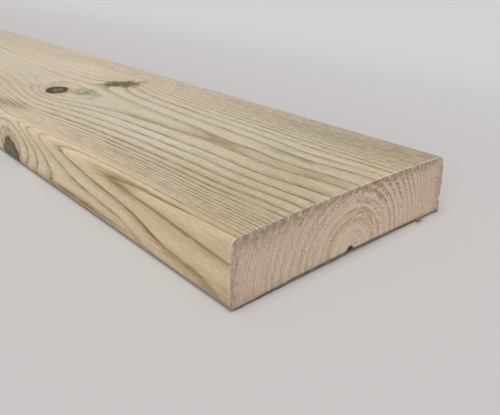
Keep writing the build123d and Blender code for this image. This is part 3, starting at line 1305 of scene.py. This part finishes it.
def end_grain():
    """The sawn ends: rings as arcs, rows of torn fibre along them with painted shade in their holes and
    painted highlight on their curls, greyer wood at the edges and painted contact shadow along the lower
    edge.
    """
    wood = Finish("sawn_end_grain")
    ring = wood.scaled(wood.grain(END_WAVER), END_WAVER_SIZE, wood.attribute("ring"))
    rounds = wood.attribute("rounds", "Vector")
    around, outward = wood.split("ShaderNodeSeparateXYZ", rounds)[:2]
    ragged = wood.attribute("ragged")
    dark = wood.chance_by(wood.math("FLOOR", ring))[0]
    through = wood.math("FRACT", ring)
    line = wood.product(wood.ramp(through, END_LINE), wood.patch(END_BREAKS), wood.patch(END_DOTS))
    line = wood.product(line, wood.scaled(dark, END_LINE_GAIN, END_LINE_LEAST))
    line = wood.product(line, wood.scaled(ragged, RAGGED_LINE_GAIN, RAGGED_LINE_LEAST))
    line = wood.product(line, wood.between(outward, *PLAIN_HEART), wood.between(outward, *STRONG_RINGS))
    colour = wood.mix(wood.patch(PINK_END_PATCHES), END_WOOD, END_PINK)
    pale = wood.scaled(ragged, PALE_ZONE_GAIN, PALE_ZONE_LEAST)
    colour = wood.mix(wood.product(wood.between(through, *PALE_ZONE), pale), colour, END_PALE_AND_HIGHLIGHT)
    colour = wood.mix(line, colour, END_LATEWOOD)
    from_heart_ring = wood.math("ABSOLUTE", wood.math("SUBTRACT", ring, HEART_RING_NUMBER))
    colour = wood.mix(wood.between(from_heart_ring, *HEART_RING_REACH), colour, HEART_RING)
    # Painted shade in each torn hole and in the torn-out rows, and painted highlight on the curl round each
    # hole
    hole, curl = torn_cells(wood, around, ring, ragged)
    colour = wood.mix(wood.product(curl, TORN_CURL_HIGHLIGHT_SHARE), colour, END_PALE_AND_HIGHLIGHT)
    colour = wood.mix(wood.product(hole, TORN_HOLE_SHADE_SHARE), colour, END_TEAR_SHADE)
    colour = wood.mix(wood.between(wood.attribute("torn"), *TEAR_RISE), colour, END_TEAR_SHADE)
    colour = wood.mix(wood.between(wood.attribute("pulled"), *PULLED_RISE), colour, END_PULLED)
    colour = wood.mix(wood.between(outward, *PALE_HEART), colour, END_PALE_AND_HIGHLIGHT)
    weave = wood.noise_at(rounds, WEAVE_CYCLES, WEAVE_DETAIL, WEAVE_ROUGHNESS)
    colour = wood.lightness(colour, wood.product(wood.patch(END_PRICKS), wood.swing(weave, WEAVE_TONE, 1)))
    colour = wood.mix(wood.product(wood.attribute("grime"), wood.patch(GRIME_BREAKS)), colour, END_GREY)
    # Painted contact shadow along the end's lower edge, where it meets the floor
    colour = wood.mix(wood.product(wood.attribute("contact_shadow"), wood.patch(END_CONTACT_SHADOW_BREAKS)), colour, EDGE_SHADOW)
    colour = wood.mix(wood.between(wood.attribute("pith"), *PITH_RISE), colour, PITH_BROWN)
    roughness = wood.scaled(line, -END_LINE_POLISH, SAWN_ROUGHNESS)
    height = wood.scaled(line, END_LINE_RELIEF, wood.product(hole, -HOLE_RELIEF))
    height = wood.scaled(weave, WEAVE_RELIEF, height)
    return wood.finish(colour, roughness, height, SAWN_DEPTH)


FIBRE_PALE = paint(196, 176, 132)
FIBRE_BROWN = paint(132, 106, 62)
FIBRE_PATCHES = Patch(Grain(700, 700), 0.35, 0.65)
FIBRE_STRANDS = Grain(3000, 3000, 5)
FIBRE_ROUGHNESS = 0.65
STRAND_ROUGHNESS = 0.2
STRAND_DEPTH = 0.00005


def fibre_wood():
    """Torn fibres: the same wood, pale and brown."""
    wood = Finish("torn_fibre")
    colour = wood.mix(wood.patch(FIBRE_PATCHES), FIBRE_PALE, FIBRE_BROWN)
    strand = wood.grain(FIBRE_STRANDS)
    return wood.finish(colour, wood.scaled(strand, STRAND_ROUGHNESS, FIBRE_ROUGHNESS), strand, STRAND_DEPTH)


FLOOR_COLOUR = paint(201, 198, 197)
FLOOR_ROUGHNESS = 0.7
FLOOR_SHINE = 0.0
FLOOR_SPAN = 40.0
BACKDROP_COLOUR = paint(211, 210, 210)
BACKDROP_START = 0.07
BACKDROP_FULL = 0.3


def pale_floor():
    """A plain pale floor that the board lies on, which turns into a paler backdrop all round it."""
    mesh = bpy.data.meshes.new("pale_floor")
    bm = bmesh.new()
    bmesh.ops.create_grid(bm, x_segments=1, y_segments=1, size=FLOOR_SPAN / 2)
    bm.to_mesh(mesh)
    bm.free()
    plain = Finish("pale_floor")
    plain.feed(plain.shader.inputs["Base Color"], FLOOR_COLOUR)
    plain.feed(plain.shader.inputs["Roughness"], FLOOR_ROUGHNESS)
    plain.feed(plain.shader.inputs["Specular IOR Level"], FLOOR_SHINE)
    past_board = plain.vector("SUBTRACT", plain.vector("ABSOLUTE", plain.place), (LENGTH / 2, WIDTH / 2, 0))
    past_board = plain.vector("MAXIMUM", past_board, (0, 0, 0))
    gap = plain.node("ShaderNodeVectorMath", operation="LENGTH")
    plain.feed(gap.inputs[0], past_board)
    away = plain.between(gap.outputs["Value"], BACKDROP_START, BACKDROP_FULL)
    backdrop = plain.fed("ShaderNodeEmission", (BACKDROP_COLOUR,))
    share = plain.product(away, plain.seen_directly())
    surface = plain.choose(share, plain.shader.outputs[0], backdrop)
    plain.feed(plain.tree.nodes["Material Output"].inputs["Surface"], surface)
    mesh.materials.append(plain.material)
    floor = bpy.data.objects.new("pale_floor", mesh)
    bpy.context.scene.collection.objects.link(floor)


WHITE = (1.0, 1.0, 1.0, 1.0)
SKY_LEVEL = 0.4
LAMP_AIM = Vector((CUT_END - 0.7, 0, 0))
TOP_POWER = 390.0
TOP_SIZE = 4.0
TOP_PLACE = Vector((CUT_END + 0.2, -1.5, 9.0))
FRONT_POWER = 390.0
FRONT_SIZE = 4.8
FRONT_PLACE = Vector((CUT_END + 3.9, -7.7, 3.85))


def soft_lamp(name, place, size, power):
    """A large square lamp at a place, turned to the board."""
    data = bpy.data.lights.new(name, "AREA")
    data.energy = power
    data.size = size
    lamp = bpy.data.objects.new(name, data)
    lamp.location = place
    lamp.rotation_euler = (LAMP_AIM - place).to_track_quat("-Z", "Y").to_euler()
    bpy.context.scene.collection.objects.link(lamp)


def studio_light():
    """Even light from all round, a soft lamp high overhead and a lower one in front."""
    world = bpy.data.worlds.new("studio")
    world.use_nodes = True
    sky = Nodes(world.node_tree)
    light = sky.tree.nodes["Background"]
    sky.feed(light.inputs["Color"], WHITE)
    sky.feed(light.inputs["Strength"], SKY_LEVEL)
    backdrop = sky.fed("ShaderNodeBackground", (BACKDROP_COLOUR, 1.0))
    surface = sky.choose(sky.seen_directly(), light.outputs[0], backdrop)
    sky.feed(sky.tree.nodes["World Output"].inputs["Surface"], surface)
    bpy.context.scene.world = world
    soft_lamp("top_lamp", TOP_PLACE, TOP_SIZE, TOP_POWER)
    soft_lamp("front_lamp", FRONT_PLACE, FRONT_SIZE, FRONT_POWER)


# The camera, from the lower near corner of the cut end, in metres and degrees
EYE_BEYOND_END = 0.0997
EYE_OUT_FROM_EDGE = 0.0788
EYE_HEIGHT = 0.0903
LOOK_AZIMUTH = 49.2
LOOK_DOWN = 24.84
LEVEL_TILT = 90
FOCAL_LENGTH = 40.9
SENSOR_WIDTH = 36.0
NEAREST_SEEN = 0.005


def photo_camera():
    """The camera at the photograph's place, angle and focal length."""
    data = bpy.data.cameras.new("photo_camera")
    data.sensor_fit = "HORIZONTAL"
    data.sensor_width = SENSOR_WIDTH
    data.lens = FOCAL_LENGTH
    data.clip_start = NEAREST_SEEN
    camera = bpy.data.objects.new("photo_camera", data)
    camera.location = (CUT_END + EYE_BEYOND_END, -WIDTH / 2 - EYE_OUT_FROM_EDGE, EYE_HEIGHT)
    camera.rotation_euler = (math.radians(LEVEL_TILT - LOOK_DOWN), 0, math.radians(LOOK_AZIMUTH))
    bpy.context.scene.collection.objects.link(camera)
    bpy.context.scene.camera = camera


board = sawn_board(all_branches())
board.data.materials.append(long_grain())
board.data.materials.append(end_grain())
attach(board, "root")
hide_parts("plank")
fibres = torn_fibres()
fibres.data.materials.append(fibre_wood())
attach(fibres, "root")
pale_floor()
studio_light()
photo_camera()
bpy.context.scene.view_settings.view_transform = "Standard"
